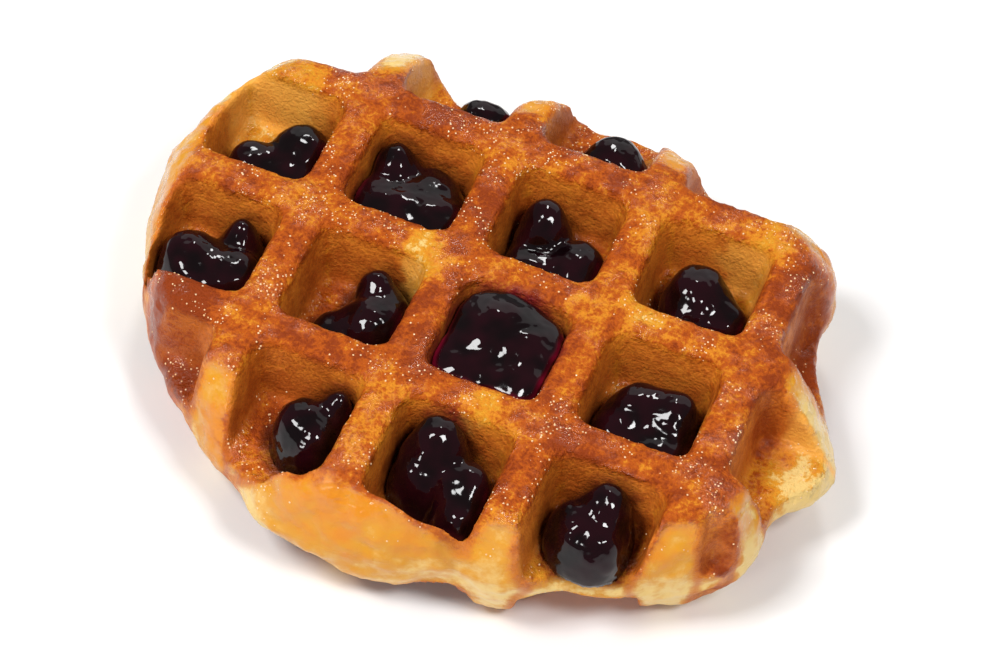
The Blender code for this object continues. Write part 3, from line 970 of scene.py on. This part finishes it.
def floor_material():
    """Plain pale paper."""
    material = bpy.data.materials.new("pale_floor")
    material.use_nodes = True
    shader = material.node_tree.nodes["Principled BSDF"].inputs
    shader["Base Color"].default_value = FLOOR_COLOUR
    shader["Roughness"].default_value = 0.6
    return material


def make_floor():
    """A plain pale floor."""
    mesh = bpy.data.meshes.new("floor")
    corners = [(FLOOR_HALF * x, FLOOR_HALF * y, 0) for x, y in ((-1, -1), (1, -1), (1, 1), (-1, 1))]
    mesh.from_pydata(corners, [], [(0, 1, 2, 3)])
    mesh.materials.append(floor_material())
    link(bpy.data.objects.new("floor", mesh))


def new_material(name):
    """A material with its tree, its shader and the place on the object."""
    material = bpy.data.materials.new(name)
    material.use_nodes = True
    nodes = Nodes(material.node_tree)
    shader = material.node_tree.nodes["Principled BSDF"]
    place = nodes.add("ShaderNodeTexCoord").outputs["Object"]
    return material, nodes, shader, place


def use_group(nodes, tree, **values):
    """A node that runs a shader group, with its inputs from values or sockets; returns its outputs."""
    node = nodes.add("ShaderNodeGroup", node_tree=tree)
    for label, value in values.items():
        nodes.put(node.inputs[label.replace("_", " ")], value)
    return node.outputs


def browning_group():
    """Colour of baked dough at a level of browning, from raw and pale to dark."""
    tree, nodes, given, result = make_tree(
        "browning",
        "ShaderNodeTree",
        (("Level", "NodeSocketFloat", 0.5), *((label, "NodeSocketColor", None) for label in CRUST)),
        (("Color", "NodeSocketColor"),),
    )
    given = given.outputs
    colour = given["Pale"]
    for label, (start, end) in COMES_IN.items():
        colour = nodes.mix(nodes.step(given["Level"], start, end), colour, given[label])
    nodes.put(result.inputs["Color"], colour)
    return tree


def film_group():
    """A wet film over part of a surface: its roughness there and the film's small hills."""
    tree, nodes, given, result = make_tree(
        "wet_film",
        "ShaderNodeTree",
        (("Place", "NodeSocketVector", None), ("Cover", "NodeSocketFloat", 1.0),
         ("Dry Roughness", "NodeSocketFloat", 0.6), ("Wet Roughness", "NodeSocketFloat", 0.12),
         ("Hill Scale", "NodeSocketFloat", 900.0)),
        (("Roughness", "NodeSocketFloat"), ("Height", "NodeSocketFloat")),
    )
    given = given.outputs
    hills = nodes.noise(given["Hill Scale"], 2.0, 0.55, given["Place"])
    roughness = nodes.mix(given["Cover"], given["Dry Roughness"], given["Wet Roughness"], "FLOAT")
    nodes.put(result.inputs["Roughness"], roughness)
    nodes.put(result.inputs["Height"], nodes.times(hills, given["Cover"]))
    return tree


def grain_group():
    """Fine grains of the crust, as a height and as a swing of its colour about zero."""
    tree, nodes, given, result = make_tree(
        "fine_grain",
        "ShaderNodeTree",
        (("Place", "NodeSocketVector", None), ("Scale", "NodeSocketFloat", 1400.0)),
        (("Height", "NodeSocketFloat"), ("Swing", "NodeSocketFloat")),
    )
    given = given.outputs
    grain = nodes.noise(given["Scale"], 3.0, 0.65, given["Place"])
    nodes.put(result.inputs["Height"], grain)
    nodes.put(result.inputs["Swing"], nodes.minus(grain, 0.5))
    return tree


def read_attribute(nodes, name):
    """A point attribute read in a shader."""
    return nodes.add("ShaderNodeAttribute", attribute_name=name).outputs["Fac"]


def crust_colour(nodes, notes, swing, height):
    """Colour of the crust, by how much it browned: least where it puffed out freely, low on the sides."""
    near = notes["near_pressed"]
    touched = nodes.plus(nodes.times(notes["pressed"], 0.28), nodes.times(near, 0.22))
    upper = nodes.step(height, 0.005, 0.021)
    level = nodes.plus(touched, nodes.plus(0.02, nodes.times(upper, 0.27)))
    clouds = nodes.times(nodes.minus(notes["mottle"], 0.5), nodes.plus(nodes.times(near, 0.28), 0.25))
    speckle = nodes.times(swing, nodes.plus(nodes.times(near, 0.85), 0.15))
    level = nodes.plus(nodes.plus(nodes.plus(level, clouds), speckle), notes["browned"])
    return use_group(nodes, browning_group(), Level=level, **CRUST)["Color"]


def wall_colour(nodes, notes, swing):
    """Colour of the pockets' walls: darker further down as painted shade, speckled, and pale or burnt where
    spots say so.
    """
    # Painted shade: the wall turns towards the deep colour further down the pocket
    colour = nodes.mix(nodes.step(notes["depth"], 0.001, 0.009), WALL_HIGH, WALL_DEEP_SHADE)
    patchy = nodes.step(nodes.plus(notes["mottle"], nodes.times(swing, 2.5)), 0.1, 1.1)
    colour = nodes.mix(nodes.times(patchy, 0.7), colour, WALL_SPECKLE)
    colour = nodes.mix(nodes.step(notes["browned"], 0.0, -0.4), colour, WALL_PALE)
    burnt = nodes.times(nodes.step(notes["browned"], 0.0, 0.5), nodes.plus(0.5, nodes.times(patchy, 0.5)))
    return nodes.mix(burnt, colour, WALL_BURNT)


def dough_material(film, grain):
    """Baked dough: crust, pocket walls with painted shade deep down, and dough darkened by the jam, partly
    where jam ran in and partly as painted contact shade, with fine grains under a wet film.
    """
    material, nodes, shader, place = new_material("dough")
    notes = {name: read_attribute(nodes, name) for name in CRUST_NOTES}
    grains = use_group(nodes, grain, Place=place, Scale=1650.0)
    height = nodes.split(place)["Z"]
    colour = crust_colour(nodes, notes, grains["Swing"], height)
    colour = nodes.mix(nodes.times(notes["wall"], 0.8), colour, wall_colour(nodes, notes, grains["Swing"]))
    # Dark by the jam: partly jam that ran in, partly painted contact shade, darkest low in the pocket
    soaked_and_shaded = nodes.times(notes["stain"], nodes.plus(0.45, nodes.times(notes["mottle"], 0.5)))
    berry = nodes.mix(nodes.step(height, 0.022, 0.027), STAIN_SHADE_LOW, STAIN_HIGH)
    nodes.put(shader.inputs["Base Color"], nodes.mix(soaked_and_shaded, colour, berry))
    dry = nodes.plus(0.32, nodes.times(notes["pressed"], 0.20))
    glaze = use_group(nodes, film, Place=place, Cover=notes["wet"], Dry_Roughness=dry, Wet_Roughness=0.10,
                      Hill_Scale=430.0)
    nodes.put(shader.inputs["Roughness"], glaze["Roughness"])
    grain_relief = nodes.times(grains["Height"], nodes.plus(0.08, notes["pressed"]))
    film_relief = nodes.times(glaze["Height"], nodes.plus(0.7, nodes.times(notes["near_pressed"], 0.5)))
    off_wall = nodes.minus(1.0, nodes.times(notes["wall"], 0.4))
    relief = nodes.times(nodes.plus(grain_relief, film_relief), off_wall)
    bump = nodes.add("ShaderNodeBump", {"Strength": 0.9, "Distance": 0.0006, "Height": relief})
    nodes.put(shader.inputs["Normal"], bump.outputs[0])
    nodes.put(shader.inputs["Specular IOR Level"], nodes.plus(0.12, nodes.times(notes["wet"], 0.38)))
    return material


def jam_material(film):
    """Set berry jam: nearly black where it is thick, crimson where it thins out."""
    material, nodes, shader, place = new_material("jam")
    mottle = nodes.step(nodes.noise(260.0, 1.0, 0.5, place), 0.3, 0.7)
    skin = use_group(nodes, film, Place=place, Cover=mottle, Dry_Roughness=0.10, Wet_Roughness=0.03)
    deep = nodes.mix(mottle, JAM_DARK, JAM_LIT)
    height = nodes.split(place)["Z"]
    edge = nodes.mix(nodes.step(height, 0.019, 0.025), JAM_THIN_LOW, JAM_THIN_HIGH)
    share = nodes.times(read_attribute(nodes, "thin"), nodes.plus(0.25, nodes.times(mottle, 0.6)))
    nodes.put(shader.inputs["Base Color"], nodes.mix(share, deep, edge))
    nodes.put(shader.inputs["Roughness"], skin["Roughness"])
    shader.inputs["IOR"].default_value = JAM_IOR
    return material


def bead_material(grain):
    """Melted sugar: smooth, from amber to a near-white that stands as a painted glint."""
    material, nodes, shader, place = new_material("sugar_bead")
    amber_to_glint = use_group(nodes, grain, Place=place, Scale=500.0)["Height"]
    # Painted glints: the palest beads are near-white
    nodes.put(shader.inputs["Base Color"], nodes.mix(amber_to_glint, BEAD_AMBER, BEAD_GLINT_WHITE))
    shader.inputs["Roughness"].default_value = 0.06
    return material


def make_dollops():
    """One object for each dollop of jam, by the name of its CAD node."""
    return {name: ring_object(f"looks_{name}", jam_rings(*shape)) for name, shape in JAM.items()}


def join_copies(objects, name):
    """One object with copies of several meshes, to measure distances from."""
    joined = bmesh.new()
    for obj in objects:
        joined.from_mesh(obj.data)
    mesh = bpy.data.meshes.new(name)
    joined.to_mesh(mesh)
    joined.free()
    return link(bpy.data.objects.new(name, mesh))


def build():
    """Make the whole scene."""
    place_camera()
    light_studio()
    make_floor()
    film = film_group()
    grain = grain_group()
    dollops = make_dollops()
    all_jam = join_copies(dollops.values(), "all_jam")
    dough = bake_crust(press_dough(), all_jam, dough_material(film, grain))
    bpy.data.objects.remove(all_jam)
    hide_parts("dough")
    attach(dough, "root")
    jam_look = jam_material(film)
    surface = jam_tree()
    for name, dollop in dollops.items():
        add_tree(dollop, "surface", surface, Dough=dough, Material=jam_look, Ripple=JAM_RIPPLE * MM)
        apply_modifiers(dollop)
        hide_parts(name)
        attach(dollop, "root")
    beads = link(bpy.data.objects.new("sugar_beads", bpy.data.meshes.new("sugar_beads")))
    least, greatest = metres(BEAD_RADII)
    add_tree(
        beads, "beads", bead_tree(), Dough=dough, Material=bead_material(grain), Density=BEAD_DENSITY,
        Seed=BEAD_SEED, Least_Radius=least, Greatest_Radius=greatest, Highest=CAD_BOX[1][2])
    apply_modifiers(beads)
    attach(beads, "root")
    jams = sum(len(item.data.polygons) for item in dollops.values())
    print("dough", len(dough.data.polygons), "jam", jams, "beads", len(beads.data.polygons))


build()
